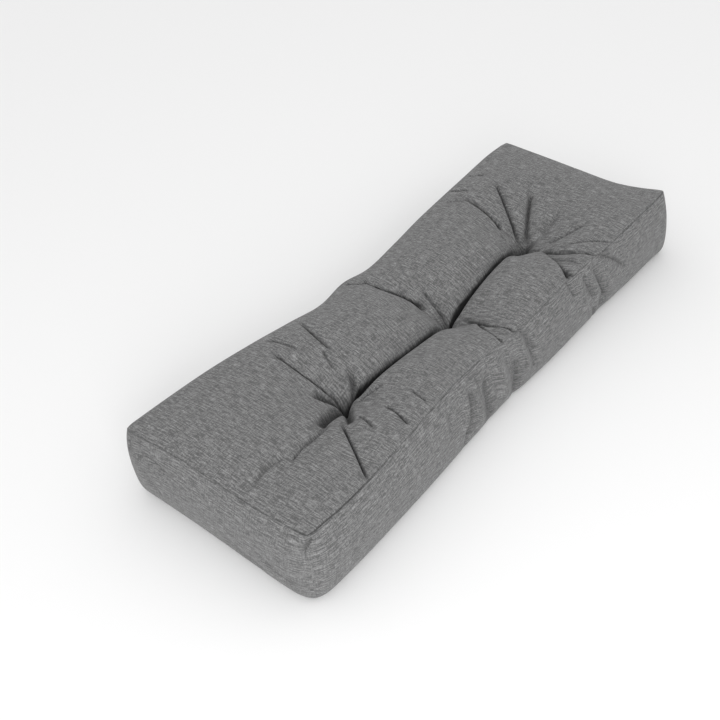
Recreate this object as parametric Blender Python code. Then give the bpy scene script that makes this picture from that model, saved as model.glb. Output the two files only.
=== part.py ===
"""Back cushion for a pallet seat: one filled cloth body lying on its back.

The cover is a top panel, a boxing strip and a bottom panel sewn together.  Three blind tufts pull
the top panel down along the middle, so the long seams are drawn in and down at half length, the
corners stand high and soft folds run from the tufts to the seams.
"""
import math

import bmesh
import bpy

# ---- named sizes, in metres --------------------------------------------------------------------
HALF_LENGTH = 0.576        # centre to the top seam of an end
HALF_WIDTH = 0.192         # centre to the top seam of a long side
SEAM_HEIGHT = 0.144        # floor to the top seam where nothing pulls on it
SEAM_CORNER = 0.008        # corner radius of the top seam
CELLS_LONG = 90            # cells of the top panel along the length
CELLS_WIDE = 30            # cells of the top panel across the width
CROWDING = 0.25            # how much closer the cells lie at the middle, where the folds are
CM = 0.01

# ---- top seam of the long sides: a row for each station, all in centimetres --------------------
SEAM_COLUMNS = ("x", "right_in", "right_drop", "left_in", "left_drop", "foot_right", "foot_left")
SEAM_ROWS = [
    (-57.6, -0.4, -0.1, -0.7, 0.1, 1.3, 0.2),
    (-49.0, -0.7, 0.2, -0.3, -0.1, 1.5, 1.3),
    (-39.0, -0.1, 0.6, 0.0, 0.2, 1.4, 1.2),
    (-29.5, 0.6, 0.7, 0.8, 0.6, 1.2, 0.9),
    (-19.5, 1.6, 1.1, 1.7, 1.4, 0.8, 0.3),
    (-12.0, 2.2, 1.8, 2.4, 2.0, 0.5, 0.0),
    (-4.0, 1.9, 2.0, 1.4, 2.0, 0.3, 0.0),
    (3.0, 1.7, 2.6, 2.0, 2.5, 0.6, 0.2),
    (12.0, 1.3, 2.1, 1.4, 2.1, 0.9, 0.6),
    (21.5, 1.0, 1.1, 0.9, 1.0, 0.9, 0.7),
    (31.5, 0.1, 0.8, 0.2, 0.6, 0.9, 0.9),
    (41.0, -0.3, 0.4, -0.3, 0.2, 1.3, 1.3),
    (51.0, -0.6, -0.1, -0.8, -0.2, 1.5, 1.3),
    (57.6, -0.5, -0.3, -0.5, -0.4, 1.9, 1.0),
]

# ---- top seam of the two ends: a row for each station, all in centimetres -----------------------
END_COLUMNS = ("y", "near_out", "near_drop", "far_out", "far_drop", "foot_near", "foot_far")
END_ROWS = [
    (-19.2, 0.1, 0.0, 0.4, 0.0, 1.1, 0.8),
    (-13.0, 0.3, 0.2, -0.2, 0.9, 1.1, 0.8),
    (-8.0, 0.4, 0.3, -0.3, 1.3, 0.9, 0.8),
    (0.0, 0.2, 0.1, -0.2, 0.9, 0.6, 0.7),
    (9.0, 0.1, 0.0, 0.0, 0.4, 0.4, 0.7),
    (19.2, 0.6, 0.0, 0.4, 0.0, 0.3, 0.6),
]

# ---- boxing from the top seam down to the foot: height as a share of the seam's, the way out as
# a share of SIDE_BULGE, how much of the foot's spread applies there, corner radius in centimetres --
SIDE_BULGE = 0.018
SIDE_COLUMNS = ("height", "out", "foot", "corner")
SIDE_ROWS = [
    (0.950, 0.26, 0.00, 1.2),
    (0.870, 0.52, 0.05, 1.7),
    (0.760, 0.78, 0.16, 2.2),
    (0.630, 0.95, 0.32, 2.6),
    (0.490, 1.00, 0.52, 2.8),
    (0.350, 0.94, 0.72, 2.7),
    (0.220, 0.78, 0.88, 2.3),
    (0.110, 0.50, 1.00, 1.8),
    (0.035, 0.18, 1.00, 1.4),
    (0.000, -0.30, 1.00, 1.2),
]

# ---- the three blind tufts, in centimetres: where, how deep, how far the pull reaches ------------
TUFT_COLUMNS = ("x", "y", "deep", "reach")
TUFT_ROWS = [
    (-28.2, -2.4, 5.9, 17.0),
    (1.7, -3.2, 6.4, 16.0),
    (31.0, -1.6, 6.6, 20.0),
]

# ---- valleys that join the tufts, and the ones that run from a tuft to a seam, in centimetres:
# start, end, sideways bow, depth at start, middle and end, reach to the left and to the right ------
VALLEY_COLUMNS = ("x0", "y0", "x1", "y1", "bow", "deep0", "deep1", "deep2", "left", "right")
VALLEY_ROWS = [
    (-28.2, -2.4, 1.7, -3.2, -1.5, 5.8, 5.6, 6.3, 8.5, 6.0),
    (1.7, -3.2, 31.0, -1.6, -0.2, 6.3, 6.2, 6.4, 9.0, 6.0),
    (1.7, -3.2, 3.0, -18.0, 0.4, 5.6, 2.8, 0.3, 6.0, 5.0),
    (1.7, -3.2, -3.2, 17.5, 0.4, 5.4, 2.8, 1.1, 6.0, 5.5),
    (-28.2, -2.4, -43.6, -19.2, -0.8, 4.6, 2.0, 0.6, 5.0, 5.5),
    (-28.2, -2.4, -30.4, 13.4, 0.6, 4.8, 2.4, 0.0, 5.0, 5.0),
    (31.0, -1.6, 20.6, -18.4, 0.9, 5.8, 3.4, 0.9, 7.0, 5.0),
    (31.0, -1.6, 34.0, 19.2, 0.5, 5.2, 2.4, 0.2, 5.0, 5.0),
]

# ---- smaller folds laid on top of that form, same columns ----------------------------------------
FOLD_ROWS = [
    (-34.0, -4.5, -56.6, -6.0, 2.8, 1.2, 0.9, 0.3, 5.5, 5.5),
    (41.0, 11.8, 32.2, 0.4, 0.0, 0.3, 1.4, 0.9, 2.4, 2.4),
    (43.4, 4.0, 33.4, -1.0, -0.3, 0.4, 1.4, 0.6, 2.6, 2.6),
    (41.4, -4.0, 33.6, -4.2, 0.3, 0.1, 0.7, 0.6, 2.6, 2.6),
    (39.6, -12.0, 31.4, -6.8, 0.3, 0.1, 0.9, 0.8, 3.0, 3.0),
    (29.8, -6.0, 30.2, -19.2, -1.4, 0.9, 1.2, 0.4, 2.4, 2.4),
    (31.2, -11.8, 35.8, -19.2, 0.2, 0.2, 0.8, 0.3, 2.0, 2.0),
    (24.6, -12.4, 21.8, -18.4, 0.2, 0.3, 0.9, 0.4, 1.8, 1.8),
    (2.2, -10.4, -1.7, -17.6, 0.2, 0.4, 1.0, 0.4, 2.0, 2.0),
    (-22.4, 4.0, -19.8, 15.0, 0.5, 0.1, 0.9, 0.3, 2.4, 2.4),
    (-26.2, 9.0, -27.8, 17.5, -0.5, 0.1, 0.7, 0.2, 2.2, 2.2),
    (-29.8, -13.5, -30.4, -18.6, 0.1, 0.1, 0.8, 0.2, 1.8, 1.8),
    (-27.6, -6.4, -22.6, -7.4, 0.3, 0.4, 0.6, 0.1, 2.0, 2.0),
    (3.4, 4.0, 2.4, -1.5, 0.2, 0.0, 0.8, 1.0, 1.8, 1.8),
]

# ---- soft upright folds of the boxing on the right side, in centimetres: where at the top and at
# the foot, height of the top and foot ends as a share of the seam's, width and depth ---------------
PUCKER_COLUMNS = ("x_top", "x_low", "h_top", "h_low", "wide", "deep")
PUCKER_ROWS = [
    (-14.2, -11.8, 0.95, 0.30, 2.6, 0.5),
    (-8.8, -5.9, 0.95, 0.15, 2.6, 0.7),
    (-3.0, -1.5, 0.95, 0.05, 2.4, 0.8),
    (3.3, 5.4, 1.00, 0.35, 2.4, 0.6),
    (28.9, 30.4, 1.00, 0.10, 2.6, 0.8),
    (35.3, 38.2, 1.00, 0.45, 2.6, 0.4),
]


def rows_of(columns, rows):
    """The rows of a table as dictionaries with the columns' names."""
    return [dict(zip(columns, row)) for row in rows]


SEAMS = rows_of(SEAM_COLUMNS, SEAM_ROWS)
ENDS = rows_of(END_COLUMNS, END_ROWS)
SIDES = rows_of(SIDE_COLUMNS, SIDE_ROWS)
TUFTS = rows_of(TUFT_COLUMNS, TUFT_ROWS)
VALLEYS = rows_of(VALLEY_COLUMNS, VALLEY_ROWS)
FOLDS = rows_of(VALLEY_COLUMNS, FOLD_ROWS)
PUCKERS = rows_of(PUCKER_COLUMNS, PUCKER_ROWS)


def along(table, key, place, column):
    """Value of a column at a place, on a smooth curve through the table's rows."""
    if place <= table[0][key]:
        return table[0][column]
    if place >= table[-1][key]:
        return table[-1][column]
    at = max(i for i, row in enumerate(table) if row[key] <= place)
    lower, upper = table[at], table[at + 1]
    before, after = table[max(at - 1, 0)], table[min(at + 2, len(table) - 1)]
    span = upper[key] - lower[key]
    share = (place - lower[key]) / span
    slope_low = (upper[column] - before[column]) / (upper[key] - before[key]) * span
    slope_up = (after[column] - lower[column]) / (after[key] - lower[key]) * span
    square, cube = share * share, share ** 3
    return ((2 * cube - 3 * square + 1) * lower[column] + (cube - 2 * square + share) * slope_low
            + (3 * square - 2 * cube) * upper[column] + (cube - square) * slope_up)


def smooth(low, high, value):
    """0 at low, 1 at high, whichever is greater, and an even curve between."""
    share = min(max((value - low) / (high - low), 0.0), 1.0)
    return share * share * (3.0 - 2.0 * share)


def dip(distance, reach, soft=0.35):
    """Depth share of a fold at a distance from its line: full lobes meeting in a narrow crease."""
    distance = math.sqrt(distance * distance + soft * soft) - soft
    return max(1.0 - distance / reach, 0.0) ** 2


def fold_depth(fold, x, y):
    """Depth of one bowed fold under the point, in centimetres."""
    run_x, run_y = fold["x1"] - fold["x0"], fold["y1"] - fold["y0"]
    length = math.hypot(run_x, run_y)
    go_x, go_y = run_x / length, run_y / length
    off_x, off_y = x - fold["x0"], y - fold["y0"]
    share = (off_x * go_x + off_y * go_y) / length
    inside = min(max(share, 0.0), 1.0)
    side = off_y * go_x - off_x * go_y - fold["bow"] * 4.0 * inside * (1.0 - inside)
    beyond = (share - inside) * length
    if inside < 0.5:
        deep = fold["deep0"] + (fold["deep1"] - fold["deep0"]) * smooth(0.0, 0.5, inside)
    else:
        deep = fold["deep1"] + (fold["deep2"] - fold["deep1"]) * smooth(0.5, 1.0, inside)
    reach = fold["left"] if side > 0.0 else fold["right"]
    return deep * dip(math.hypot(side, beyond), reach)


def pulled_down(x, y):
    """How far tufts, valleys and folds draw the top panel down at a point, in centimetres."""
    pulls = [tuft["deep"] * dip(math.hypot(x - tuft["x"], y - tuft["y"]), tuft["reach"], 0.6)
             for tuft in TUFTS]
    pulls += [fold_depth(valley, x, y) for valley in VALLEYS]
    main = sum(pull ** 4 for pull in pulls) ** 0.25
    return main + sum(fold_depth(fold, x, y) for fold in FOLDS)


def rounded(x, y, radius):
    """A point of the square-cornered plan moved into one with rounded corners."""
    over_x = abs(x) - (HALF_LENGTH - radius)
    over_y = abs(y) - (HALF_WIDTH - radius)
    if over_x <= 0.0 or over_y <= 0.0:
        return x, y
    keep = max(over_x, over_y) / math.hypot(over_x, over_y)
    return (math.copysign(HALF_LENGTH - radius + over_x * keep, x),
            math.copysign(HALF_WIDTH - radius + over_y * keep, y))


def seam_values(x, y):
    """Draw-in and drop of the top seam and spread of the foot, blended for a plan point."""
    x_cm, y_cm = x / CM, y / CM
    right = 0.5 - 0.5 * y / HALF_WIDTH
    drop = (right * along(SEAMS, "x", x_cm, "right_drop")
            + (1.0 - right) * along(SEAMS, "x", x_cm, "left_drop"))
    side = "right" if y < 0.0 else "left"
    inward = along(SEAMS, "x", x_cm, side + "_in")
    end = "near" if x < 0.0 else "far"
    close = smooth(0.60, 1.0, abs(x) / HALF_LENGTH)
    drop += close * along(ENDS, "y", y_cm, end + "_drop")
    outward = along(ENDS, "y", y_cm, end + "_out")
    return {"in": inward * CM, "drop": drop * CM, "end_out": outward * CM,
            "foot_side": along(SEAMS, "x", x_cm, "foot_" + side) * CM,
            "foot_end": along(ENDS, "y", y_cm, "foot_" + end) * CM}


def top_point(x, y):
    """Place of a point of the top panel: seam plane, crown, tufts and folds."""
    u, v = x / HALF_LENGTH, y / HALF_WIDTH
    x, y = rounded(x, y, SEAM_CORNER)
    seam = seam_values(x, y)
    place_y = y - v * seam["in"]
    place_x = x + math.copysign(abs(u) ** 6, u) * seam["end_out"]
    edge = (1.0 - abs(v) ** 5) * (1.0 - abs(u) ** 14)
    lift = 1.4 + (0.9 - 0.5 * smooth(0.1, -0.5, v)) * (1.0 - smooth(0.25, 0.75, abs(u)))
    pull = pulled_down(place_x / CM, place_y / CM) * min(1.0, 0.18 + edge)
    height = SEAM_HEIGHT - seam["drop"] + (lift * edge - pull) * CM
    return place_x, place_y, height


def pucker(x, share):
    """Depth of the upright folds of the right boxing at a place, in metres."""
    depth = 0.0
    for row in PUCKERS:
        run = (row["h_top"] - share) / (row["h_top"] - row["h_low"])
        ends = smooth(-0.15, 0.25, run) * smooth(1.2, 0.6, run)
        line = row["x_top"] + (row["x_low"] - row["x_top"]) * run
        depth += row["deep"] * ends * dip(abs(x / CM - line), row["wide"])
    return depth * CM


def side_point(x, y, level):
    """Place of a point of the boxing: it swells between the seams and turns under at the foot."""
    row = SIDES[level]
    share = row["height"]
    radius = row["corner"] * CM
    on_side = abs(abs(y) - HALF_WIDTH) < 1e-6
    plan_x, plan_y = rounded(x, y, radius)
    seam = seam_values(plan_x, plan_y)
    over_x = max(abs(plan_x) - (HALF_LENGTH - radius), 0.0)
    over_y = max(abs(plan_y) - (HALF_WIDTH - radius), 0.0)
    length = math.hypot(over_x, over_y)
    way_x = math.copysign(over_x / length, plan_x)
    way_y = math.copysign(over_y / length, plan_y)
    side_out = row["out"] * SIDE_BULGE
    keep = smooth(0.0, 1.0, share) ** 0.8
    out_y = side_out - keep * seam["in"] + row["foot"] * seam["foot_side"]
    out_x = side_out + keep * seam["end_out"] + row["foot"] * seam["foot_end"]
    if on_side and plan_y < 0.0:
        out_y -= pucker(plan_x, share)
    height = (SEAM_HEIGHT - seam["drop"]) * share
    return plan_x + way_x * out_x, plan_y + way_y * out_y, height


def crowded(share):
    """Moves even cells of a panel, -1 to 1, closer together towards the middle."""
    return share * (1.0 - CROWDING) + CROWDING * share ** 3


def middle_of_footprint(mesh):
    """Middle of the body seen from above; the part's origin is put there, on the floor."""
    spread = [[vert.co[axis] for vert in mesh.verts] for axis in (0, 1)]
    return [0.5 * (min(values) + max(values)) for values in spread]


def build_cushion():
    """One closed skin: the top panel as a grid, the boxing drawn down from its edge, the bottom."""
    mesh = bmesh.new()
    bmesh.ops.create_grid(mesh, x_segments=CELLS_LONG, y_segments=CELLS_WIDE, size=1.0)
    for vert in mesh.verts:
        vert.co.x = HALF_LENGTH * crowded(vert.co.x)
        vert.co.y = HALF_WIDTH * crowded(vert.co.y)
    rim = [edge for edge in mesh.edges if edge.is_boundary]
    rings = []
    for level in range(len(SIDES)):
        grown = bmesh.ops.extrude_edge_only(mesh, edges=rim)["geom"]
        rim = [piece for piece in grown if isinstance(piece, bmesh.types.BMEdge)]
        rings.append([piece for piece in grown if isinstance(piece, bmesh.types.BMVert)])
        for vert in rings[-1]:
            vert.co.z = -(level + 1.0)
    bmesh.ops.contextual_create(mesh, geom=rim)
    for vert in mesh.verts:
        level = round(-vert.co.z) - 1
        vert.co = top_point(vert.co.x, vert.co.y) if level < 0 else side_point(vert.co.x, vert.co.y, level)
    middle = middle_of_footprint(mesh)
    bmesh.ops.translate(mesh, verts=mesh.verts, vec=(-middle[0], -middle[1], 0.0))
    bmesh.ops.recalc_face_normals(mesh, faces=mesh.faces)
    for face in mesh.faces:
        face.smooth = len(face.verts) == 4
    data = bpy.data.meshes.new("cushion")
    mesh.to_mesh(data)
    mesh.free()
    return data, middle


def woven_grey():
    """Plain grey outdoor cloth."""
    material = bpy.data.materials.new("woven_grey")
    material.use_nodes = True
    surface = material.node_tree.nodes["Principled BSDF"]
    surface.inputs["Base Color"].default_value = (0.19, 0.19, 0.19, 1.0)
    surface.inputs["Roughness"].default_value = 0.92
    return material


for old in list(bpy.data.objects):
    bpy.data.objects.remove(old, do_unlink=True)

collection = bpy.data.collections.new("pallet_back_cushion")
bpy.context.scene.collection.children.link(collection)
skin, moved = build_cushion()
cushion = bpy.data.objects.new("cushion", skin)
cushion.data.materials.append(woven_grey())
collection.objects.link(cushion)
print("cushion:", len(cushion.data.vertices), "points,", len(cushion.data.polygons), "faces")
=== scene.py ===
# %% [markdown]
# # A tufted back cushion for pallet seating
#
# The real thing is one sewn cover, tightly filled with loose fibre: a top panel, a boxing strip
# that runs round it, and a bottom panel that it lies on.  Three blind tufts pull the top panel
# down along the middle.  The filling pushes the cloth out everywhere else, so full lobes meet in
# sharp valleys, the long seams are drawn in at half length and the corners stand high.
#
# The measured solid is loaded first.  It gives the size and the place of everything that follows.

# %% Load the measured cushion
import math

import bmesh
import bpy
import numpy as np
from mathutils import Matrix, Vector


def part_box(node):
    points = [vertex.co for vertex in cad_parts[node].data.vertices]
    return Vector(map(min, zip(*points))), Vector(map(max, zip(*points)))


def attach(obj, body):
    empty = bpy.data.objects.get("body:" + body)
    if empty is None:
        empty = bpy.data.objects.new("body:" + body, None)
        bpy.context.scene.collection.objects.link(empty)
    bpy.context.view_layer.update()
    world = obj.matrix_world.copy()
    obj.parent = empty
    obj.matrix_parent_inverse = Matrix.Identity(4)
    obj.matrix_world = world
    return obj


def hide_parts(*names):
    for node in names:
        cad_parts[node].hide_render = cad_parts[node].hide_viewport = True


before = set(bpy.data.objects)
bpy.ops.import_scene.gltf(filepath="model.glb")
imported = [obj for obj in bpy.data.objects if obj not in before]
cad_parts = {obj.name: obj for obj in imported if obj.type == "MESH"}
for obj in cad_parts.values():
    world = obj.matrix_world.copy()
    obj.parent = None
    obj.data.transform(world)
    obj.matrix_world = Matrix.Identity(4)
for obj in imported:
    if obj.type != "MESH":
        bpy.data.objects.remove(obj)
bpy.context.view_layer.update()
low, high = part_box("cushion")
print("nodes:", len(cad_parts), "solid:", [round(high[i] - low[i], 4) for i in range(3)], "metres")

# %% [markdown]
# ## Sizes and tables
#
# Lengths in the tables are centimetres, because a maker would measure a cushion that way.  A small
# helper turns rows into named columns, and another reads a column at any place on a smooth curve,
# which is how a seam line is drawn through a few measured stations.

# %% Reading a table
CM = 0.01
TINY = 1e-9   # keeps a length that is divided by from being nothing


def table(columns, *rows):
    """Rows of numbers as named columns."""
    return dict(zip(columns.split(), np.array(rows, float).T))


def along(rows, key, place, column):
    """A column read at a place, on a smooth curve through the rows."""
    at, value = rows[key], rows[column]
    slope = np.empty_like(value)
    slope[1:-1] = (value[2:] - value[:-2]) / (at[2:] - at[:-2])
    slope[0] = (value[1] - value[0]) / (at[1] - at[0])
    slope[-1] = (value[-1] - value[-2]) / (at[-1] - at[-2])
    place = np.clip(place, at[0], at[-1])
    i = np.clip(np.searchsorted(at, place, side="right") - 1, 0, len(at) - 2)
    span = at[i + 1] - at[i]
    t = (place - at[i]) / span
    return ((2 * t**3 - 3 * t**2 + 1) * value[i] + (t**3 - 2 * t**2 + t) * span * slope[i]
            + (3 * t**2 - 2 * t**3) * value[i + 1] + (t**3 - t**2) * span * slope[i + 1])


def smooth(start, end, value):
    """0 before start, 1 after end, an even curve between."""
    t = np.clip((value - start) / (end - start), 0.0, 1.0)
    return t * t * (3.0 - 2.0 * t)


print("a table's centimetre is", CM, "metres; half way up a smooth step is", smooth(0.0, 1.0, 0.5))

# %% [markdown]
# ## The sewn outline
#
# The top panel is cut as a plain rectangle, but the tufts draw its long seams in at half length and
# the filling spreads the foot of the boxing.  That could be sculpted by eye.  A few stations along
# each seam are measured instead, because every number can then be checked with a tape: how far the
# seam is drawn in, how far it drops, and how far the foot stands out below it.

# %% Seams, ends and sides
HALF_LENGTH, HALF_WIDTH, SEAM_HEIGHT = 0.576, 0.192, 0.144
MIDDLE = (-0.0016, -0.0008)   # how far the measured solid was moved to stand over its origin
SEAM_CORNER = 0.006

SEAMS = table(
    "x right_in right_drop left_in left_drop foot_right foot_left",
    (-57.6, -0.4, -0.1, -0.7, 0.1, 1.3, 0.2),
    (-49.0, -0.7, 0.2, -0.3, -0.1, 1.5, 1.3),
    (-39.0, -0.1, 0.6, 0.0, 0.2, 1.4, 1.2),
    (-29.5, 0.6, 0.7, 0.8, 0.6, 1.2, 0.9),
    (-19.5, 1.6, 1.1, 1.7, 1.4, 0.8, 0.3),
    (-12.0, 2.2, 1.8, 2.4, 2.0, 0.5, 0.0),
    (-4.0, 1.9, 2.0, 1.4, 2.0, 0.3, 0.0),
    (3.0, 1.7, 2.6, 2.0, 2.5, 0.6, 0.2),
    (12.0, 1.3, 2.1, 1.4, 2.1, 0.9, 0.6),
    (21.5, 1.0, 1.1, 0.9, 1.0, 0.9, 0.7),
    (31.5, 0.1, 0.8, 0.2, 0.6, 0.9, 0.9),
    (41.0, -0.3, 0.4, -0.3, 0.2, 1.3, 1.3),
    (51.0, -0.6, -0.1, -0.8, -0.2, 1.5, 1.3),
    (57.6, -0.5, -0.3, -0.5, -0.4, 1.9, 1.0),
)
ENDS = table(
    "y near_out near_drop far_out far_drop foot_near foot_far",
    (-19.2, 0.1, 0.0, 0.4, 0.0, 1.1, 0.8),
    (-13.0, 0.3, 0.2, -0.2, 0.9, 1.1, 0.8),
    (-8.0, 0.4, 0.3, -0.3, 1.3, 0.9, 0.8),
    (0.0, 0.2, 0.1, -0.2, 0.9, 0.6, 0.7),
    (9.0, 0.1, 0.0, 0.0, 0.4, 0.4, 0.7),
    (19.2, 0.6, 0.0, 0.4, 0.0, 0.3, 0.6),
)
SIDES = table(
    "height out foot corner",
    (0.000, -0.30, 1.00, 1.2),
    (0.035, 0.18, 1.00, 1.4),
    (0.110, 0.50, 1.00, 1.8),
    (0.220, 0.78, 0.88, 2.3),
    (0.350, 0.94, 0.72, 2.7),
    (0.490, 1.00, 0.52, 2.8),
    (0.630, 0.95, 0.32, 2.6),
    (0.760, 0.78, 0.16, 2.2),
    (0.870, 0.52, 0.05, 1.7),
    (0.950, 0.26, 0.00, 1.2),
    (1.000, 0.00, 0.00, 0.8),
)
SIDE_BULGE = 0.018
print("stations:", len(SEAMS["x"]), "along,", len(ENDS["y"]), "across,", len(SIDES["height"]), "up a side")

# %% [markdown]
# ## Tufts, valleys and folds
#
# Three hidden stitches hold the top panel down.  The cloth between two of them sinks into a deep
# valley, and the cloth round each one runs out in folds.  Dark lines could be painted on a smooth
# top, but a valley has to hide its own floor when the view turns.  So each is a bowed line with a
# depth at its start, middle and end, and a reach to its left and right, all in centimetres.

# %% Where the cloth is drawn down
TUFTS = table(
    "x y deep reach",
    (-28.2, -2.4, 5.9, 17.0),
    (1.7, -3.2, 6.4, 16.0),
    (31.0, -1.6, 6.6, 20.0),
)
FOLD_COLUMNS = "x0 y0 x1 y1 bow deep0 deep1 deep2 left right"
VALLEYS = table(
    FOLD_COLUMNS,
    (-28.2, -2.4, 1.7, -3.2, -1.5, 5.8, 5.2, 6.3, 8.5, 6.0),
    (1.7, -3.2, 31.0, -1.6, -0.2, 6.3, 5.8, 6.4, 9.0, 6.0),
    (1.7, -3.2, 3.0, -18.0, 0.4, 5.6, 2.8, 0.3, 6.0, 5.0),
    (1.7, -3.2, -3.2, 17.5, 0.4, 5.4, 2.8, 1.1, 6.0, 5.5),
    (-28.2, -2.4, -43.6, -19.2, -0.8, 4.6, 2.0, 0.6, 5.0, 5.5),
    (-28.2, -2.4, -30.4, 13.4, 0.6, 4.8, 2.4, 0.0, 5.0, 5.0),
    (31.0, -1.6, 20.6, -18.4, 0.9, 5.8, 3.4, 0.9, 7.0, 5.0),
    (31.0, -1.6, 34.0, 19.2, 0.5, 5.2, 2.4, 0.2, 5.0, 5.0),
)
FOLDS = table(
    FOLD_COLUMNS,
    (-34.0, -4.5, -56.6, -6.0, 2.8, 1.2, 0.9, 0.3, 5.5, 5.5),
    (41.0, 11.8, 32.2, 0.4, 0.0, 0.3, 1.4, 0.9, 2.4, 2.4),
    (43.4, 4.0, 33.4, -1.0, -0.3, 0.4, 1.4, 0.6, 2.6, 2.6),
    (41.4, -4.0, 33.6, -4.2, 0.3, 0.1, 0.7, 0.6, 2.6, 2.6),
    (39.6, -12.0, 31.4, -6.8, 0.3, 0.1, 0.9, 0.8, 3.0, 3.0),
    (29.8, -6.0, 30.2, -19.2, -1.4, 0.9, 1.2, 0.4, 2.4, 2.4),
    (31.2, -11.8, 35.8, -19.2, 0.2, 0.2, 0.8, 0.3, 2.0, 2.0),
    (24.6, -12.4, 21.8, -18.4, 0.2, 0.3, 0.9, 0.4, 1.8, 1.8),
    (2.2, -10.4, -1.7, -17.6, 0.2, 0.4, 1.0, 0.4, 2.0, 2.0),
    (-22.4, 4.0, -19.8, 15.0, 0.5, 0.1, 0.9, 0.3, 2.4, 2.4),
    (-26.2, 9.0, -27.8, 17.5, -0.5, 0.1, 0.7, 0.2, 2.2, 2.2),
    (-29.8, -13.5, -30.4, -18.6, 0.1, 0.1, 0.8, 0.2, 1.8, 1.8),
    (-27.6, -6.4, -22.6, -7.4, 0.3, 0.4, 0.6, 0.1, 2.0, 2.0),
    (3.4, 4.0, 2.4, -1.5, 0.2, 0.0, 0.8, 1.0, 1.8, 1.8),
)
PUCKERS = table(
    "x_top x_low h_top h_low wide deep",
    (-14.2, -11.8, 0.95, 0.30, 2.6, 0.5),
    (-8.8, -5.9, 0.95, 0.15, 2.6, 0.7),
    (-3.0, -1.5, 0.95, 0.05, 2.4, 0.8),
    (3.3, 5.4, 1.00, 0.35, 2.4, 0.6),
    (28.9, 30.4, 1.00, 0.10, 2.6, 0.8),
    (35.3, 38.2, 1.00, 0.45, 2.6, 0.4),
)
print("valleys:", len(VALLEYS["x0"]), "folds:", len(FOLDS["x0"]), "puckers:", len(PUCKERS["x_top"]))

# %% [markdown]
# ## The form before the cloth is let go
#
# Filling presses the sides of a real fold out, so they are full rather than hollow.  A valley could
# be cut with a round tool, but that leaves a wide gutter.  Here the depth falls away as a square of
# the distance, so two lobes meet in a narrow crease, and the deepest of them all wins where several
# run together at a tuft.

# %% How deep folds, valleys and tufts are
TUFT_SOFTNESS, FOLD_SOFTNESS = 0.6, 0.35   # centimetres over which the deepest place is rounded
BLEND = 4                                  # a high power lets the deepest of several depths win


def dip(distance, reach, soft=FOLD_SOFTNESS):
    """Depth share of a crease at a distance from its line."""
    distance = np.sqrt(distance**2 + soft**2) - soft
    return np.clip(1.0 - distance / reach, 0.0, None)**2


def fold_depth(rows, i, x, y):
    """Depth of one bowed fold at points in centimetres."""
    run = np.array((rows["x1"][i] - rows["x0"][i], rows["y1"][i] - rows["y0"][i]))
    length = math.hypot(*run)
    go = run / length
    off_x, off_y = x - rows["x0"][i], y - rows["y0"][i]
    share = (off_x * go[0] + off_y * go[1]) / length
    inside = np.clip(share, 0.0, 1.0)
    side = off_y * go[0] - off_x * go[1] - rows["bow"][i] * 4.0 * inside * (1.0 - inside)
    start, mid, end = rows["deep0"][i], rows["deep1"][i], rows["deep2"][i]
    deep = start + (mid - start) * smooth(0.0, 0.5, inside) + (end - mid) * smooth(0.5, 1.0, inside)
    reach = np.where(side > 0.0, rows["left"][i], rows["right"][i])
    return deep * dip(np.hypot(side, (share - inside) * length), reach)


def pulled_down(x, y):
    """How far everything together draws the top panel down, in centimetres."""
    total = np.zeros_like(x)
    for i in range(len(TUFTS["x"])):
        far = np.hypot(x - TUFTS["x"][i], y - TUFTS["y"][i])
        total += (TUFTS["deep"][i] * dip(far, TUFTS["reach"][i], TUFT_SOFTNESS))**BLEND
    for i in range(len(VALLEYS["x0"])):
        total += fold_depth(VALLEYS, i, x, y)**BLEND
    total = total**(1.0 / BLEND)
    for i in range(len(FOLDS["x0"])):
        total += fold_depth(FOLDS, i, x, y)
    return total


print("the tufts are drawn down", pulled_down(TUFTS["x"], TUFTS["y"]).round(1), "cm")

# %% [markdown]
# ## From the flat plan to the drawn-in seams
#
# Every point of the cover starts on a flat plan with square corners.  The filling rounds the real
# corners and the seams are drawn in between them.  A lattice could bend a box like that, but it
# can't follow the tables of stations, so two short functions move the points.

# %% Rounded corners and drawn-in seams
ENDS_BEGIN = 0.60   # share of the half length beyond which an end's own drop counts


def rounded(x, y, radius):
    """Points of the square-cornered plan moved into one with rounded corners."""
    over_x = np.clip(np.abs(x) - (HALF_LENGTH - radius), 0.0, None)
    over_y = np.clip(np.abs(y) - (HALF_WIDTH - radius), 0.0, None)
    both = (over_x > 0.0) & (over_y > 0.0)
    keep = np.where(both, np.maximum(over_x, over_y) / np.maximum(np.hypot(over_x, over_y), TINY), 1.0)
    new_x = np.where(both, np.copysign(HALF_LENGTH - radius + over_x * keep, x), x)
    new_y = np.where(both, np.copysign(HALF_WIDTH - radius + over_y * keep, y), y)
    return new_x, new_y


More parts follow.
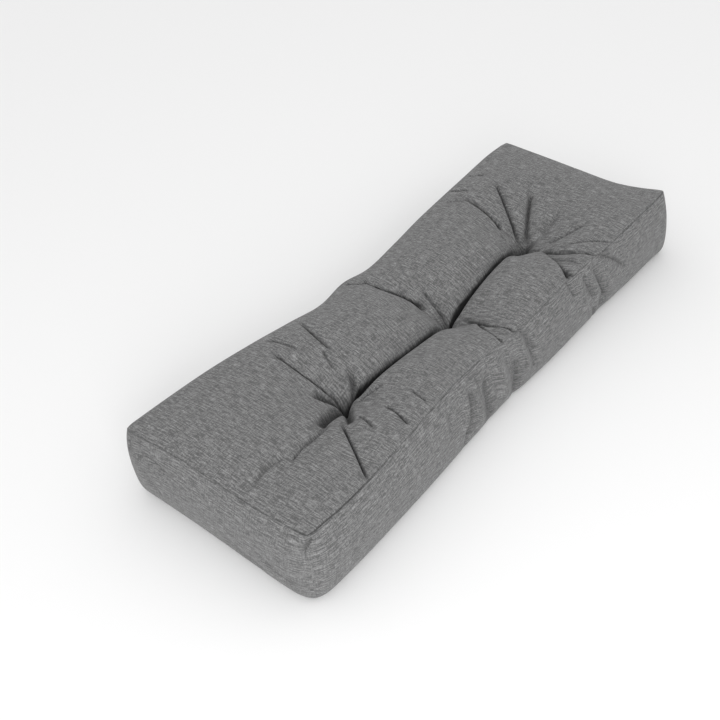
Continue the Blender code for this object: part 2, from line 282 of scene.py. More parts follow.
def seam_values(x, y):
    """Draw-in and drop of the top seam and spread of the foot, blended for plan points."""
    x_cm, y_cm = x / CM, y / CM
    right = 0.5 - 0.5 * y / HALF_WIDTH
    on_right, near = y < 0.0, x < 0.0
    drop = (right * along(SEAMS, "x", x_cm, "right_drop")
            + (1.0 - right) * along(SEAMS, "x", x_cm, "left_drop"))
    drop += smooth(ENDS_BEGIN, 1.0, np.abs(x) / HALF_LENGTH) * np.where(
        near, along(ENDS, "y", y_cm, "near_drop"), along(ENDS, "y", y_cm, "far_drop"))
    return {
        "drop": drop * CM,
        "in": np.where(on_right, along(SEAMS, "x", x_cm, "right_in"),
                       along(SEAMS, "x", x_cm, "left_in")) * CM,
        "end_out": np.where(near, along(ENDS, "y", y_cm, "near_out"),
                            along(ENDS, "y", y_cm, "far_out")) * CM,
        "foot_side": np.where(on_right, along(SEAMS, "x", x_cm, "foot_right"),
                              along(SEAMS, "x", x_cm, "foot_left")) * CM,
        "foot_end": np.where(near, along(ENDS, "y", y_cm, "foot_near"),
                             along(ENDS, "y", y_cm, "foot_far")) * CM,
    }


waist = seam_values(np.zeros(2), np.array((-HALF_WIDTH, HALF_WIDTH)))["in"]
print("waist at half length:", (waist * 1000).round(1), "mm in on the right and left")

# %% [markdown]
# ## The top panel
#
# The top of a filled cushion is crowned: highest along the middle and falling to the seams.  A part
# of a sphere would fall too evenly, because cloth that is pulled tight stays nearly flat and turns
# down late.  High powers of the distance from the middle give that flat crown with a quick edge.

# %% Points of the top panel
CROWN, CROWN_MIDDLE, CROWN_RIGHT = 1.2, 0.7, 0.5   # centimetres: all over, more in the middle, less right
RIGHT_FROM, RIGHT_TO = 0.1, -0.5                   # shares of the half width between which the right begins
MIDDLE_TO, MIDDLE_END = 0.25, 0.75                 # shares of the half length between which the middle ends
FALL_ACROSS, FALL_ALONG, FALL_BULGE = 5, 14, 6     # the higher, the later and quicker the edge
LEAST_PULL = 0.18                                  # share of the tufts' pull that reaches the seam


def top_points(x, y):
    """Places of points of the top panel: seam plane, crown, tufts and folds."""
    u, v = x / HALF_LENGTH, y / HALF_WIDTH
    x, y = rounded(x, y, SEAM_CORNER)
    seam = seam_values(x, y)
    y = y - v * seam["in"]
    x = x + np.copysign(np.abs(u)**FALL_BULGE, u) * seam["end_out"]
    edge = (1.0 - np.abs(v)**FALL_ACROSS) * (1.0 - np.abs(u)**FALL_ALONG)
    on_middle = 1.0 - smooth(MIDDLE_TO, MIDDLE_END, np.abs(u))
    lift = CROWN + (CROWN_MIDDLE - CROWN_RIGHT * smooth(RIGHT_FROM, RIGHT_TO, v)) * on_middle
    pull = pulled_down(x / CM, y / CM) * np.minimum(1.0, LEAST_PULL + edge)
    return np.stack((x, y, SEAM_HEIGHT - seam["drop"] + (lift * edge - pull) * CM), 1)


tuft_heights = top_points(TUFTS["x"] * CM, TUFTS["y"] * CM)[:, 2]
print("the tufts start", (tuft_heights / CM).round(1), "cm over the floor")

# %% [markdown]
# ## The boxing
#
# The strip round the cushion is sewn in flat and then swells between its two seams, most at half
# height, and turns under at the foot.  A rounded edge on a box would swell evenly all round.  The
# stations of a side are used instead, and the right side also takes its upright puckers, which come
# from cloth that was gathered into the seam by the machine.

# %% Points of the boxing
PUCKER_TOP, PUCKER_FOOT = (-0.15, 0.25), (1.2, 0.6)   # shares of its run where a pucker opens and dies
SEAM_PULL_FALL = 0.8                                  # how soon the pull of the seam fades down the boxing


def pucker_depth(x, share):
    """Depth of the upright folds of the right boxing, in metres."""
    depth = np.zeros_like(x)
    for i in range(len(PUCKERS["x_top"])):
        top, foot = PUCKERS["h_top"][i], PUCKERS["h_low"][i]
        run = (top - share) / (top - foot)
        ends = smooth(*PUCKER_TOP, run) * smooth(*PUCKER_FOOT, run)
        line = PUCKERS["x_top"][i] + (PUCKERS["x_low"][i] - PUCKERS["x_top"][i]) * run
        depth += PUCKERS["deep"][i] * ends * dip(np.abs(x / CM - line), PUCKERS["wide"][i])
    return depth * CM


def side_points(x, y, share):
    """Places of points of the boxing, which swells between the seams and turns under at the foot."""
    on_right = y < -HALF_WIDTH + 1e-6
    radius = along(SIDES, "height", share, "corner") * CM
    x, y = rounded(x, y, radius)
    seam = seam_values(x, y)
    over_x = np.clip(np.abs(x) - (HALF_LENGTH - radius), 0.0, None)
    over_y = np.clip(np.abs(y) - (HALF_WIDTH - radius), 0.0, None)
    length = np.maximum(np.hypot(over_x, over_y), TINY)
    out = along(SIDES, "height", share, "out") * SIDE_BULGE
    foot = along(SIDES, "height", share, "foot")
    keep = smooth(0.0, 1.0, share)**SEAM_PULL_FALL
    out_y = out - keep * seam["in"] + foot * seam["foot_side"]
    out_x = out + keep * seam["end_out"] + foot * seam["foot_end"]
    out_y = out_y - np.where(on_right, pucker_depth(x, share), 0.0)
    return np.stack((x + np.copysign(over_x / length, x) * out_x,
                     y + np.copysign(over_y / length, y) * out_y,
                     (SEAM_HEIGHT - seam["drop"]) * share), 1)


half_height = side_points(np.zeros(2), np.array((-HALF_WIDTH, HALF_WIDTH)), np.full(2, 0.5))[:, 1]
print("width half way up the waist:", round(float(half_height[1] - half_height[0]), 3), "metres")

# %% [markdown]
# ## One skin from three panels
#
# The mesh follows the panels as they are cut, so each face knows where it lies on the flat cloth.
# That place is kept as a UV map, in metres, and the weave is drawn on it: threads then run straight
# along a panel, dive into the creases with it and change direction at a seam, as sewn cloth does.
# Even cells would be simpler, but the tufts gather far more cloth than the ends do.

# %% Cut the panels into cells
CELLS_LONG, CELLS_WIDE, CELLS_HIGH = 206, 70, 16
SEAM_CELL = 0.0026   # the narrow cell on either side of a seam
FIRST_RING = 0.96    # share of the boxing's height where its even rings begin
RULER = 2001         # marks on the ruler that the cells are measured with
AT_TUFT, TUFT_FAR, TUFT_NEAR = 0.45, 13.0, 4.0            # more lines within these centimetres of a tuft
AT_END, END_FAR, END_NEAR = 0.25, 0.44, 0.56              # fewer beyond these metres from the middle
AT_ROW, ROW_FAR, ROW_NEAR, ROW = 0.7, 0.13, 0.03, -0.04   # more within these metres of the row of tufts


def spread(half, count, crowd):
    """Lines from -half to half, closer where crowd is high, with a narrow cell at either end."""
    place = np.linspace(-half, half, RULER)
    busy = np.concatenate(((0.0,), np.cumsum(0.5 * (crowd(place[1:]) + crowd(place[:-1])))))
    lines = np.interp(np.linspace(0.0, busy[-1], count - 1), busy, place)
    return np.concatenate(((-half, -half + SEAM_CELL), lines[1:-1], (half - SEAM_CELL, half)))


def crowd_long(x):
    """More lines where a tuft gathers the cloth, fewer at the ends."""
    near = np.min(np.abs(x[:, None] / CM - TUFTS["x"]), 1)
    return 1.0 + AT_TUFT * smooth(TUFT_FAR, TUFT_NEAR, near) - AT_END * smooth(END_FAR, END_NEAR, np.abs(x))


def crowd_wide(y):
    """More lines along the row of tufts."""
    return 1.0 + AT_ROW * smooth(ROW_FAR, ROW_NEAR, np.abs(y - ROW))


lines_x = spread(HALF_LENGTH, CELLS_LONG, crowd_long)
lines_y = spread(HALF_WIDTH, CELLS_WIDE, crowd_wide)
heights = np.concatenate(((1.0 - SEAM_CELL / SEAM_HEIGHT,), np.linspace(FIRST_RING, 0.0, CELLS_HIGH - 1)))
print("cells:", len(lines_x) - 1, "x", len(lines_y) - 1, "top,", len(heights), "down the boxing")

# %% [markdown]
# ## Stitch the panels together
#
# A machine joins the top panel to the boxing all the way round, and both share that stitch line.
# Two meshes that only touch would come apart when the filling pushes.  So the last row of the top is
# also the first ring of the boxing, and the rings then go down to the floor one by one.

# %% One mesh from the top panel and the boxing
TOP, BOXING = 0, 1   # numbers of the panels, and of their cloths


def build_skin():
    """Points, faces, flat-cloth places and panels of the cover, and its rings from seam to floor."""
    nx, ny = len(lines_x), len(lines_y)
    grid_x, grid_y = np.meshgrid(lines_x, lines_y, indexing="ij")
    index = np.arange(nx * ny).reshape(nx, ny)
    points = [top_points(grid_x.ravel(), grid_y.ravel())]
    rim = np.concatenate((index[:-1, 0], index[-1, :-1], index[:0:-1, -1], index[0, :0:-1]))
    rim_x, rim_y = grid_x.ravel()[rim], grid_y.ravel()[rim]
    walk = np.hypot(np.diff(np.append(rim_x, rim_x[0])), np.diff(np.append(rim_y, rim_y[0])))
    walk = np.concatenate(((0.0,), np.cumsum(walk)))
    rings, last = [rim], nx * ny
    for share in heights:
        points.append(side_points(rim_x, rim_y, np.full(len(rim), share)))
        rings.append(np.arange(last, last + len(rim)))
        last += len(rim)
    faces, places, panel = [], [], []
    for i in range(nx - 1):
        for j in range(ny - 1):
            faces.append((index[i, j], index[i + 1, j], index[i + 1, j + 1], index[i, j + 1]))
            places += [(lines_x[i], lines_y[j]), (lines_x[i + 1], lines_y[j]),
                       (lines_x[i + 1], lines_y[j + 1]), (lines_x[i], lines_y[j + 1])]
            panel.append(TOP)
    down = np.concatenate(((0.0,), (1.0 - heights) * SEAM_HEIGHT))
    for r in range(len(rings) - 1):
        upper, lower = rings[r], rings[r + 1]
        for k in range(len(rim)):
            n = (k + 1) % len(rim)
            faces.append((upper[n], upper[k], lower[k], lower[n]))
            places += [(walk[k + 1], -down[r]), (walk[k], -down[r]),
                       (walk[k], -down[r + 1]), (walk[k + 1], -down[r + 1])]
            panel.append(BOXING)
    return np.concatenate(points), faces, places, panel, rings


start, faces, places, panel, rings = build_skin()
start[:, 0] -= MIDDLE[0]
start[:, 1] -= MIDDLE[1]
skin = bpy.data.meshes.new("cushion_cover")
skin.from_pydata(start.tolist(), [], [tuple(int(i) for i in face) for face in faces])
flat = skin.uv_layers.new(name="flat_cloth")
flat.data.foreach_set("uv", np.array(places, float).ravel())
skin.polygons.foreach_set("material_index", panel)
skin.polygons.foreach_set("use_smooth", [True] * len(panel))
cushion = bpy.data.objects.new("cushion_cover", skin)
bpy.context.scene.collection.objects.link(cushion)
print("skin:", len(skin.vertices), "points,", len(skin.polygons), "faces")

# %% [markdown]
# ## Let the filling push
#
# A tight cushion is a balance.  The filling presses outwards, the seams, the tufts and the floor
# hold, and the cloth between them takes whatever form is left.  Blender's Cloth with pressure finds
# that balance, starting from the form above.  A little spare cloth goes where the real cover is
# gathered, round the tufts and in the middle of the boxing, so it swells there in uneven folds.

# %% Where the cover is held and where it has spare cloth
RIGHT_SIDE = -17.0                      # centimetres across: beyond it lies the right boxing
HELD_REACH, GATHER_REACH = 2.2, 16.0    # centimetres round a tuft
HELD_RINGS = 3                          # rings at the floor that stay where they are
TOP_SPARE, LEAST_SPARE = 0.3, 0.15
SPARE_ON_RIGHT = table(
    "x most fade",
    (-4.0, 1.2, 18.0),
    (31.0, 1.1, 14.0),
)


def shares(reach):
    """For each point, 1 at a tuft down to 0 at the reach, in centimetres."""
    x, y = start[:, 0] / CM, start[:, 1] / CM
    near = np.min(np.hypot(x[:, None] - TUFTS["x"], y[:, None] - TUFTS["y"]), 1)
    return np.clip(1.0 - near / reach, 0.0, None)


on_top = np.arange(len(start)) < len(lines_x) * len(lines_y)
held = np.where(on_top, shares(HELD_REACH), 0.0)
held[np.concatenate([rings[0]] + rings[-HELD_RINGS:])] = 1.0

on_right = ~on_top & (start[:, 1] / CM < RIGHT_SIDE)
from_spots = np.abs(start[:, :1] / CM - SPARE_ON_RIGHT["x"]) / SPARE_ON_RIGHT["fade"]
spare = np.where(on_top, np.clip(TOP_SPARE + shares(GATHER_REACH), 0.0, 1.0), 0.0)
spare = np.where(on_right, np.max(SPARE_ON_RIGHT["most"] - from_spots, 1), spare)
spare = np.clip(spare, LEAST_SPARE, 1.0)
print("held:", int((held > 0).sum()), "points, with spare cloth:", int((spare > LEAST_SPARE).sum()))

# %% [markdown]
# ## Fill the cover
#
# Loose fibre presses about evenly on the cloth from inside, so a uniform pressure stands for it.
# Gravity is left out, because the fibre carries its own weight.  The cloth runs for a few frames
# only, until the lobes are round, and no point may go far from where the tables put it.

# %% Paint the two groups
def group(name, weights):
    """A vertex group of the cover from an array of weights."""
    made = cushion.vertex_groups.new(name=name)
    for i in np.nonzero(weights > 0.0)[0]:
        made.add([int(i)], float(weights[i]), "REPLACE")
    return name


print("group weights:", round(float(held.mean()), 3), "held and", round(float(spare.mean()), 3), "spare")

# %% Blow it up and keep the result
CLOTH_FRAMES, CLOTH_STEPS = 16, 4
FARTHEST = 0.016   # no point moves further than this
PRESSURE, SPARE_CLOTH, CLOTH_MASS, AIR_DRAG = 4.0, 0.035, 0.3, 1.0
STRETCH_STIFFNESS, SHEAR_STIFFNESS, BEND_STIFFNESS = 15.0, 5.0, 0.05
STRETCH_DAMPING, BEND_DAMPING = 5.0, 0.5


def blow_up():
    """Runs the cloth and returns where every point ends."""
    cloth = cushion.modifiers.new("filling", "CLOTH")
    yarn = cloth.settings
    yarn.quality, yarn.mass, yarn.air_damping = CLOTH_STEPS, CLOTH_MASS, AIR_DRAG
    yarn.tension_stiffness = yarn.compression_stiffness = STRETCH_STIFFNESS
    yarn.shear_stiffness, yarn.bending_stiffness = SHEAR_STIFFNESS, BEND_STIFFNESS
    yarn.tension_damping = yarn.compression_damping = yarn.shear_damping = STRETCH_DAMPING
    yarn.bending_damping = BEND_DAMPING
    yarn.use_pressure, yarn.uniform_pressure_force = True, PRESSURE
    yarn.vertex_group_mass, yarn.pin_stiffness = group("held", held), 1.0
    yarn.vertex_group_shrink = group("spare", spare)
    yarn.shrink_min, yarn.shrink_max = 0.0, -SPARE_CLOTH
    yarn.effector_weights.gravity = 0.0
    cloth.collision_settings.use_collision = False
    cloth.point_cache.frame_start, cloth.point_cache.frame_end = 1, CLOTH_FRAMES + 1
    for frame_number in range(1, CLOTH_FRAMES + 1):
        bpy.context.scene.frame_set(frame_number)
    blown = cushion.evaluated_get(bpy.context.evaluated_depsgraph_get()).to_mesh()
    ends = np.empty(len(blown.vertices) * 3)
    blown.vertices.foreach_get("co", ends)
    cushion.modifiers.remove(cloth)
    cushion.vertex_groups.clear()
    bpy.context.scene.frame_set(1)
    return ends.reshape(-1, 3)


shape = start.copy()
move = blow_up() - start
far = np.linalg.norm(move, axis=1)
shape += move * np.minimum(1.0, FARTHEST / np.maximum(far, TINY))[:, None]
shape[:, 2] = np.maximum(shape[:, 2], 0.0)
print("cloth moved by up to", round(float(far.max()) * 1000, 1), "mm")
skin.vertices.foreach_set("co", shape.ravel())
skin.update()

# %% [markdown]
# ## The seam
#
# No piping shows on the real seam: it is a fine line that the stitches hold a little under the cloth
# on both sides, clear at the corners and lost where the boxing is gathered.  A separate cord would
# be wrong.  The ring of points on the seam is sunk instead, by as much as a table of stations says,
# and the same table sets how much shade is painted on the seam's cloth.

# %% Sink the seam between its two narrow cells, and set its painted shade
SEAM_SINK, SINK_ANYWAY = 0.0026, 0.5
NEAR_END, NEAR_END_SEAM = -57.0, 0.42   # centimetres along where the near end begins, and how far its seam sinks and how much shade is painted on it
SEAM_SHADE = 0.55                       # the most painted shade the seam puts on the cloth's colour
SEAM_SINK_AND_SHADE = table(
    "x right left",
    (-57.6, 1.00, 0.5),
    (-45.0, 0.95, 0.4),
    (-37.0, 0.35, 0.4),
    (-24.0, 0.40, 0.3),
    (-13.0, 0.45, 0.4),
    (-7.0, 0.05, 0.4),
    (8.0, 0.05, 0.4),
    (18.0, 0.25, 0.4),
    (30.0, 0.20, 0.5),
    (40.0, 0.60, 0.6),
    (46.0, 0.60, 0.6),
    (57.6, 0.55, 0.6),
)


def vectors(collection, field, width=3):
    """One field of a mesh's points, faces or corners as an array."""
    values = np.empty(len(collection) * width)
    collection.foreach_get(field, values)
    return values.reshape(-1, width)


# how far each seam point sinks, and how much shade is painted on the cloth there
seam_sink_and_shade = np.zeros(len(start))
seam_x, seam_y = start[rings[0], 0] / CM, start[rings[0], 1] / CM
seam_sink_and_shade[rings[0]] = np.where(
    seam_y < RIGHT_SIDE, along(SEAM_SINK_AND_SHADE, "x", seam_x, "right"),
    np.where(seam_x < NEAR_END, NEAR_END_SEAM, along(SEAM_SINK_AND_SHADE, "x", seam_x, "left")))
sink = SEAM_SINK * (SINK_ANYWAY + seam_sink_and_shade[rings[0]])
shape[rings[0]] -= sink[:, None] * vectors(skin.vertices, "normal")[rings[0]]
skin.vertices.foreach_set("co", shape.ravel())
print("seam sunk by", round(float(sink.min()) * 1000, 1), "to", round(float(sink.max()) * 1000, 1), "mm")

# %% [markdown]
# ## A finer skin
#
# Creases are narrower than the cells that the filling pushed.  A finer mesh from the start would
# make the cloth slow, so the cells are halved now.  Two attributes go through that step with every
# point: where it lay at the start, so that creases can be placed by the tape, and its painted shade.

# %% Round the facets, and remember where each point started
memory = skin.attributes.new("start_place", "FLOAT_VECTOR", "POINT")
memory.data.foreach_set("vector", start.ravel())
# crease_shadow is painted shade that darkens the cloth's colour; it starts with the seam's painted shade
dark = skin.attributes.new("crease_shadow", "FLOAT", "POINT")
dark.data.foreach_set("value", seam_sink_and_shade * SEAM_SHADE)
rounder = cushion.modifiers.new("rounder", "SUBSURF")
rounder.levels = rounder.render_levels = 1
rounder.boundary_smooth = "PRESERVE_CORNERS"
fine = bpy.data.meshes.new_from_object(cushion.evaluated_get(bpy.context.evaluated_depsgraph_get()))
cushion.modifiers.remove(rounder)
print("finer skin:", len(fine.polygons), "faces")

# %% [markdown]
# ## The bottom panel
#
# The cushion lies on its bottom panel, which is flat there and never shows.  It could get its own
# grid of cells, but nothing bends it, so one flat face closes the cover along its lowest ring.

# %% Sew in the bottom panel, one flat face on the floor
sewing = bmesh.new()
sewing.from_mesh(fine)
floor_edges = [edge for edge in sewing.edges if edge.is_boundary]
bottom = bmesh.ops.edgeloop_fill(sewing, edges=floor_edges, mat_nr=TOP, use_smooth=False)["faces"][0]
if bottom.normal.z > 0.0:
    bottom.normal_flip()
for corner in bottom.loops:
    corner[sewing.loops.layers.uv["flat_cloth"]].uv = corner.vert.co.xy
sewing.to_mesh(fine)
sewing.free()
fine.name = "cushion_cover"
cushion.data = fine
bpy.data.meshes.remove(skin)

begun = vectors(fine.attributes["start_place"].data, "vector") / CM
shape = vectors(fine.vertices, "co")
print("closed cover:", len(fine.vertices), "points,", len(fine.polygons), "faces")

# %% [markdown]
# ## Creases of the top panel, one by one
#
# The filled form has the right lobes, but real cloth also breaks into sharp creases there.  A finer
# cloth simulation would find some, though never the same ones as on the real cushion.  So each row
# below is one of them: a bowed line on the cloth as it lay at the start, how deep it is, how wide,
# and how far its sides lean over it.  Places are centimetres along and across the panel.  The main
# creases close up more from their left side.  Every crease also paints shade on the cloth, and the
# main creases have their own column for how soon that painted shade goes dark.

# %% Creases of the top panel
CREASE_COLUMNS = "x0 y0 x1 y1 bow deep wide close reach"
MAIN_CREASES = table(
    CREASE_COLUMNS + " far_wide far_close light",
    (-30.0, -2.1, 3.0, -3.0, -1.5, 4.8, 0.90, 0.60, 5.0, 1.08, 0.74, 0.50),
    (0.4, -3.0, 32.4, -1.4, -0.2, 5.0, 0.90, 0.62, 5.0, 0.94, 0.76, 0.25),
    (-2.0, 14.6, 1.4, 1.0, -0.7, 1.6, 0.56, 0.66, 3.4, 0.60, 0.68, 0.5),
    (31.0, -3.6, 21.4, -4.6, -0.4, 1.4, 2.60, 0.10, 4.0, 2.60, 0.10, 30.0),
)
TOP_CREASES = table(
    CREASE_COLUMNS,
    (3.6, -6.0, 2.6, -18.0, -0.5, 1.6, 0.50, 0.66, 2.8),
    (2.6, -8.6, -1.6, -18.0, -0.9, 1.3, 0.42, 0.60, 1.8),
    (-4.5, 17.0, -1.2, 11.2, 0.0, 1.3, 0.40, 0.60, 1.6),
    (3.7, 4.8, 2.0, -2.4, 0.2, 0.75, 0.42, 0.50, 1.5),
    (-28.8, -3.2, -34.4, -8.8, 0.0, 1.50, 0.90, 0.40, 2.6),
    (-34.6, -6.6, -43.8, -20.2, -0.2, 1.30, 0.44, 0.60, 2.4),
    (-27.6, -4.0, -29.8, 13.6, 1.2, 1.40, 0.46, 0.66, 2.6),
    (-28.4, -2.8, -23.0, 1.4, -0.3, 1.10, 0.60, 0.30, 2.0),
    (-28.6, -2.8, -32.4, 2.0, 0.2, 1.30, 0.80, 0.30, 2.4),
    (-28.8, -3.0, -39.0, -5.4, -0.4, 1.60, 1.00, 0.30, 2.8),
    (-36.0, -5.8, -46.0, -7.0, 0.4, 0.50, 0.50, 0.30, 1.6),
    (-27.0, -4.4, -20.6, -4.6, 0.2, 0.50, 0.80, 0.20, 2.0),
    (-44.0, -6.8, -48.0, -7.8, 0.1, 0.45, 0.36, 0.40, 1.2),
    (-47.0, -6.6, -56.6, -6.6, -0.8, 0.40, 0.60, 0.30, 1.6),
    (-28.0, -5.6, -22.6, -7.4, 0.3, 0.55, 0.36, 0.45, 1.3),
    (-28.2, -10.8, -29.9, -17.4, 0.2, 0.90, 0.34, 0.60, 1.3),
    (-32.2, -8.6, -34.3, -13.6, 0.1, 0.55, 0.36, 0.45, 1.2),
    (-23.1, -12.8, -23.9, -16.6, 0.1, 0.60, 0.32, 0.50, 1.0),
    (-19.9, 15.0, -22.4, 4.6, -0.4, 0.70, 0.40, 0.50, 1.5),
    (-23.3, 7.2, -25.2, 2.6, 0.0, 0.50, 0.34, 0.50, 1.2),
    (-27.8, 17.2, -26.3, 8.6, 0.3, 0.45, 0.38, 0.50, 1.4),
    (41.6, 12.6, 31.4, -0.8, 0.0, 1.15, 0.44, 0.50, 1.8),
    (43.8, 4.2, 32.2, -1.8, -0.3, 1.00, 0.66, 0.40, 2.2),
    (41.6, -4.0, 33.4, -4.2, 0.3, 0.30, 0.80, 0.20, 2.0),
    (39.8, -12.2, 31.2, -6.6, 0.3, 0.40, 0.60, 0.30, 1.8),
    (31.1, 3.4, 33.0, 14.8, -0.3, 2.10, 0.50, 0.62, 2.2),
    (33.6, 19.0, 36.0, 14.6, 0.0, 0.60, 0.34, 0.50, 1.2),
    (28.8, 16.6, 32.4, 13.4, 0.0, 0.40, 0.50, 0.30, 1.4),
    (40.6, 18.9, 42.6, 14.8, 0.0, 0.50, 0.34, 0.50, 1.2),
    (28.9, 3.0, 28.6, -1.8, 0.0, 0.90, 0.44, 0.55, 1.6),
    (30.4, -2.8, 20.0, -18.6, 1.0, 2.00, 0.56, 0.62, 3.0),
    (25.2, -11.8, 21.8, -18.6, 0.2, 1.00, 0.36, 0.55, 1.4),
    (29.8, -5.4, 30.4, -19.6, -1.0, 1.25, 0.38, 0.50, 1.4),
    (30.8, -11.6, 35.8, -19.4, 0.2, 0.75, 0.34, 0.50, 1.3),
    (26.8, -11.0, 25.4, -18.0, 0.2, 0.45, 0.50, 0.30, 1.4),
)
PITS = table(
    "x y deep wide close reach",
    (-28.6, -2.8, 2.6, 1.9, 0.40, 4.0),
    (1.6, -3.2, 2.4, 1.3, 0.40, 3.6),
    (31.0, -2.2, 2.0, 1.6, 0.40, 3.4),
)
print("creases on the top:", len(MAIN_CREASES["x0"]), "main,", len(TOP_CREASES["x0"]), "smaller")

# %% [markdown]
# ## Creases of the boxing
#
# The gathered middle of the right boxing hangs in uneven upright folds, and the near end has a few
# faint ones at its corners.  A wave would repeat itself, so these too are rows of their own.  Places
# are centimetres along and up the strip, and a depth below nothing stands out as a ridge.

# %% Creases of the right boxing and the near end
BOXING_CREASES = table(
    CREASE_COLUMNS,
    (-13.9, 10.8, -18.6, 1.6, 0.7, 0.65, 1.20, 0.20, 2.6),
    (-9.1, 10.4, -9.6, 0.2, -0.8, 0.75, 1.30, 0.20, 2.6),
    (-0.4, 8.8, -1.6, 0.4, 0.4, 0.65, 1.10, 0.20, 2.2),
    (4.0, 9.6, 4.6, 2.6, 0.4, 0.45, 1.00, 0.10, 2.0),
    (-10.9, 12.4, -12.6, 7.0, 0.1, 0.40, 0.70, 0.20, 1.5),
    (-21.3, 11.2, -22.8, 6.4, 0.1, 0.35, 0.80, 0.10, 1.5),
    (-17.2, 5.0, -19.0, 0.8, 0.1, 0.55, 0.60, 0.30, 1.5),
    (-15.6, 12.2, -19.6, 5.0, 0.5, -0.90, 0.90, 0.00, 2.0),
    (-12.2, 11.4, -13.0, 2.0, -0.3, -0.70, 0.90, 0.00, 2.0),
    (-5.6, 11.6, -5.4, 1.6, 0.2, -0.90, 1.30, 0.00, 2.0),
    (2.0, 12.6, 1.8, 4.0, 0.2, -0.80, 0.90, 0.00, 2.0),
    (2.8, 12.8, 6.4, 5.8, 0.2, 0.45, 0.60, 0.30, 1.5),
    (28.2, 9.8, 29.2, 0.6, 0.7, 0.80, 0.80, 0.40, 1.9),
    (27.6, 13.4, 32.4, 2.4, -0.7, 0.55, 0.80, 0.25, 1.8),
    (24.2, 12.6, 26.6, 6.0, -0.4, 0.60, 0.70, 0.30, 1.7),
    (19.4, 13.6, 20.3, 9.0, 0.0, 0.50, 0.50, 0.35, 1.5),
    (26.1, 4.8, 27.6, 0.7, 0.0, 0.55, 0.50, 0.40, 1.3),
    (25.6, 13.2, 30.4, 4.0, -0.7, -0.60, 0.70, 0.00, 1.6),
    (22.0, 12.6, 23.2, 5.0, 0.0, -0.50, 0.80, 0.00, 1.6),
    (29.2, 14.4, 38.8, 7.0, 0.3, 0.70, 0.42, 0.45, 1.5),
    (11.4, 13.2, 13.8, 8.4, 0.1, 0.35, 0.60, 0.20, 1.3),
)
NEAR_END_CREASES = table(
    CREASE_COLUMNS,
    (19.5, 14.2, 19.0, 11.4, 0.1, 0.80, 0.40, 0.40, 1.2),
    (18.2, 13.6, 15.0, 13.0, 0.1, 0.40, 0.34, 0.30, 1.0),
    (17.6, 10.6, 8.6, 11.6, 0.3, -0.40, 1.20, 0.00, 2.0),
    (19.0, 4.4, 9.0, 6.8, 0.4, 0.30, 0.80, 0.20, 1.6),
    (12.0, 2.6, 2.0, 5.0, 0.4, 0.35, 0.90, 0.20, 1.8),
    (-8.0, 9.6, -17.6, 12.0, -0.6, 0.35, 0.80, 0.20, 1.6),
    (-18.4, 13.6, -18.8, 10.0, 0.2, 0.50, 0.40, 0.40, 1.2),
    (-12.0, 4.0, -17.0, 9.4, -0.5, 0.30, 0.80, 0.20, 1.6),
)
print("creases:", len(BOXING_CREASES["x0"]), "on the right,", len(NEAR_END_CREASES["x0"]), "on the near end")

# %% [markdown]
# ## How a crease is pressed
#
# A crease in tight cloth is a narrow groove between two full sides that lean over it.  A sculpting
# brush makes one by feel, and never twice the same.  Here one rule serves every row: points near
# the line sink along a steep bell curve, and points further off are gathered towards it.  Hardly
# any light reaches the bottom of a real groove, so each one also has shade painted into the cloth's
# colour, on top of the shade that its groove casts.

# %% The line of a crease
FADE_IN, FADE_OUT = 0.2, 0.75   # shares of its length where a crease has opened and starts to die


def crease_shares(rows, i, across, up, fade):
    """Signed distance from a crease's line, its strength there and the way across it."""
    run = np.array((rows["x1"][i] - rows["x0"][i], rows["y1"][i] - rows["y0"][i]))
    length = math.hypot(*run)
    go = run / length
    off_x, off_y = across - rows["x0"][i], up - rows["y0"][i]
    share = (off_x * go[0] + off_y * go[1]) / length
    side = off_y * go[0] - off_x * go[1] - rows["bow"][i] * 4.0 * share * (1.0 - share)
    strength = smooth(0.0, fade, share) * smooth(1.0, FADE_OUT, share)
    return side, strength, (-go[1], go[0])


print("a crease is open from", FADE_IN, "to", FADE_OUT, "of its length")

# %% Grooves and pits
LIGHT = 2.0      # centimetres down a thin groove where hardly any light arrives, and where its painted shade is full
DARKEST = 0.95   # the most shade a groove paints on the cloth's colour
STEEP, STEEP_ON_BOXING = 3.0, 1.7   # powers of the bell curves
GROOVE_FOOT, PIT_FOOT = 4.0, 3.0    # widths out to which the two curves count
shadow = vectors(fine.attributes["crease_shadow"].data, "value", 1).ravel()


def press(rows, where, across, up, axes, steep=STEEP, fade=FADE_IN):
    """Sinks a groove along each crease of one panel, gathers its sides towards it and paints its shade."""
    inward = -np.cross(axes[0], axes[1])
    for i in range(len(rows["x0"])):
        side, strength, sideways = crease_shares(rows, i, across, up, fade)
        reach = rows["reach"][i]
        near = where & (strength > 0.0) & (np.abs(side) < max(reach, GROOVE_FOOT * rows["wide"][i]))
        off, strong = side[near], strength[near]
        wide = np.where(off > 0.0, rows.get("far_wide", rows["wide"])[i], rows["wide"][i])
        close = np.where(off > 0.0, rows.get("far_close", rows["close"])[i], rows["close"][i])
        profile = np.exp(-np.abs(off / wide)**steep)
        shape[near] += (rows["deep"][i] * profile * strong * CM)[:, None] * inward
        gather = close * np.clip(1.0 - (off / reach)**2, 0.0, None)**2 * strong
        draw = -off * gather * CM
        shape[near] += draw[:, None] * (sideways[0] * axes[0] + sideways[1] * axes[1])
        # painted shade: the groove darkens the cloth's colour, most at its line
        light = rows["light"][i] if "light" in rows else LIGHT
        dark = np.clip(rows["deep"][i] * profile / light, 0.0, DARKEST) * strong
        shadow[near] = np.maximum(shadow[near], dark)


